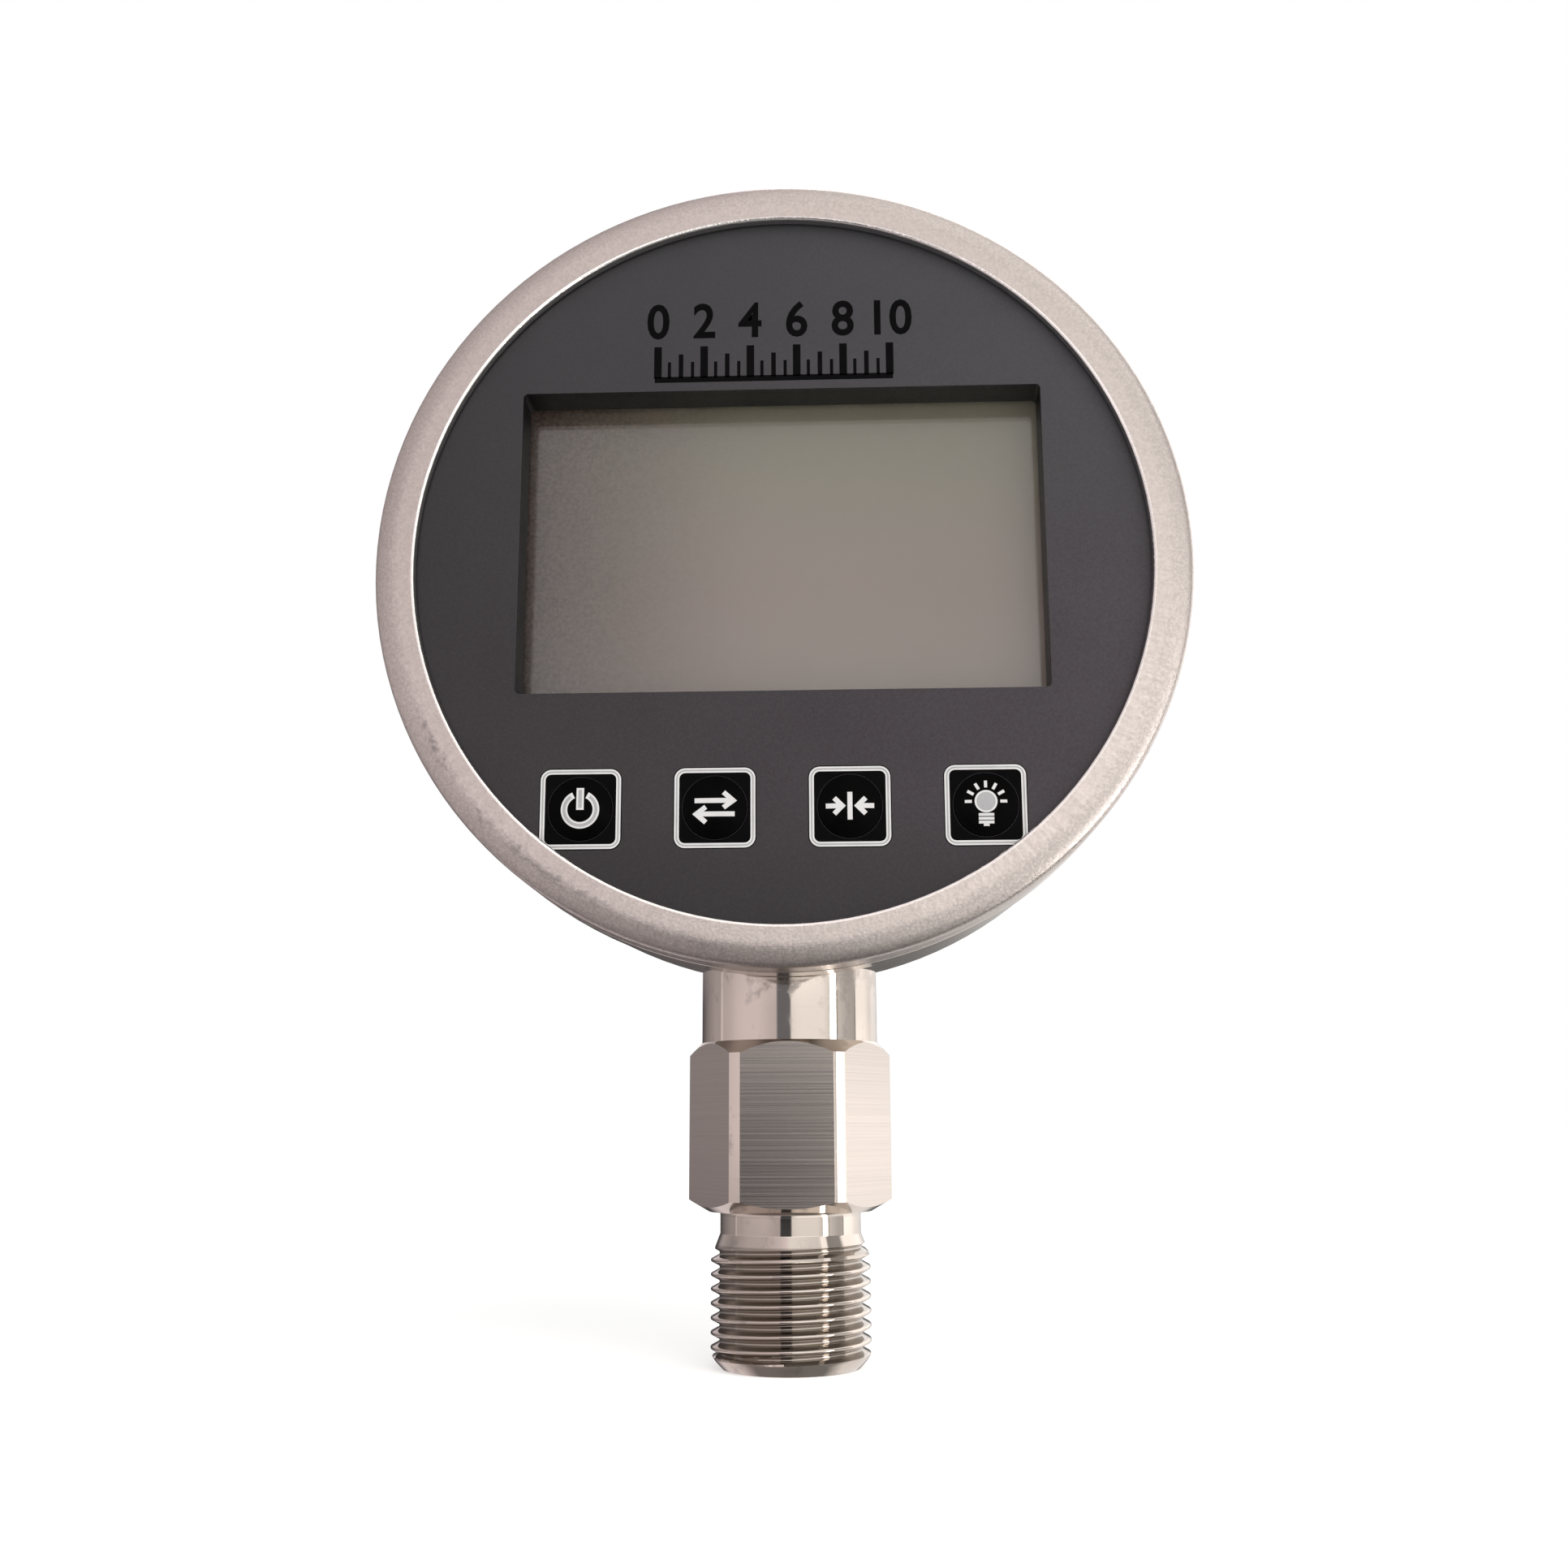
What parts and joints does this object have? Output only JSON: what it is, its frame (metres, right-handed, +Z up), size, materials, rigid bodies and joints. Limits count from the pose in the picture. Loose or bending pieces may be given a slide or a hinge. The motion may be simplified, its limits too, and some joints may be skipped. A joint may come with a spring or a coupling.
{
  "type": "digital pressure gauge",
  "caption": "Round digital pressure gauge: steel case and bezel, recessed display above a row of push keys, and a bottom stem with a spanner hexagon and a pipe thread.",
  "frame": {"origin": "centre of the pressure port's open end, at the bottom of the stem", "axes": "+Z up along the stem, -Y out of the dial, +X to the right of someone who reads it"},
  "size_m": [0.105, 0.0432, 0.1544],
  "materials": {
    "satin_steel": "bead-blasted, satin",
    "polished_steel": "spun and polished",
    "turned_steel": "turned and milled, bright",
    "zinc_steel": "zinc plated",
    "brass_nut": "turned",
    "gold_pins": "gold plated",
    "face_film": "fine matt grain, screen printed",
    "panel_plastic": "moulded, fine texture",
    "key_plastic": "gloss",
    "plunger_plastic": "moulded",
    "switch_plastic": "moulded",
    "seal_rubber": "moulded",
    "contact_rubber": "layered, conductive",
    "clear_window": "clear, gloss",
    "display_glass": "reflective display glass, switched off",
    "white_plastic": "moulded",
    "diffuser": "clear with a matt back",
    "led_resin": "cast",
    "board_green": "solder resist",
    "chip_epoxy": "moulded",
    "connector_nylon": "moulded",
    "wire_red": "extruded",
    "wire_black": "extruded",
    "tray_plastic": "moulded",
    "cell_label": "printed sleeve",
    "nickel": "nickel plated"
  },
  "bodies": {
    "housing": {"bezel_ring": "satin_steel", "lip_seal": "seal_rubber", "face_overlay": "face_film", "front_panel": "panel_plastic", "panel_gasket": "seal_rubber", "window_lens": "clear_window", "lcd_glass": "display_glass", "lcd_holder": "white_plastic", "light_guide": "diffuser", "backlight_leds": "led_resin", "contact_strips": "contact_rubber", "main_board": "board_green", "microcontroller": "chip_epoxy", "measuring_chip": "chip_epoxy", "sensor_connector": "connector_nylon", "battery_connector": "connector_nylon", "board_screws": "zinc_steel", "tact_switches": "switch_plastic", "case_body": "polished_steel", "stem": "turned_steel", "stem_washer": "zinc_steel", "stem_nut": "brass_nut", "sensor_cell": "turned_steel", "sensor_oring": "seal_rubber", "sensor_retainer": "turned_steel", "sensor_pins": "gold_pins", "sensor_wires": "wire_red", "battery_tray": "tray_plastic", "battery_cell_1": "cell_label", "battery_cell_2": "cell_label", "battery_cell_3": "cell_label", "battery_springs": "nickel", "battery_plates": "nickel", "battery_wires": "wire_black", "cover_gasket": "seal_rubber", "back_cover": "tray_plastic", "cover_screws": "zinc_steel"},
    "power_key": {"key_power": "key_plastic", "plunger_power": "plunger_plastic"},
    "unit_key": {"key_unit": "key_plastic", "plunger_unit": "plunger_plastic"},
    "zero_key": {"key_zero": "key_plastic", "plunger_zero": "plunger_plastic"},
    "light_key": {"key_light": "key_plastic", "plunger_light": "plunger_plastic"}
  },
  "joints": [
    {"name": "power_press", "type": "slide", "parent": "housing", "child": "power_key", "axis": [0, 1, 0], "range_m": [0, 0.0005], "stiffness_N_per_m": 3000},
    {"name": "unit_press", "type": "slide", "parent": "housing", "child": "unit_key", "axis": [0, 1, 0], "range_m": [0, 0.0005], "stiffness_N_per_m": 3000},
    {"name": "zero_press", "type": "slide", "parent": "housing", "child": "zero_key", "axis": [0, 1, 0], "range_m": [0, 0.0005], "stiffness_N_per_m": 3000},
    {"name": "light_press", "type": "slide", "parent": "housing", "child": "light_key", "axis": [0, 1, 0], "range_m": [0, 0.0005], "stiffness_N_per_m": 3000}
  ]
}
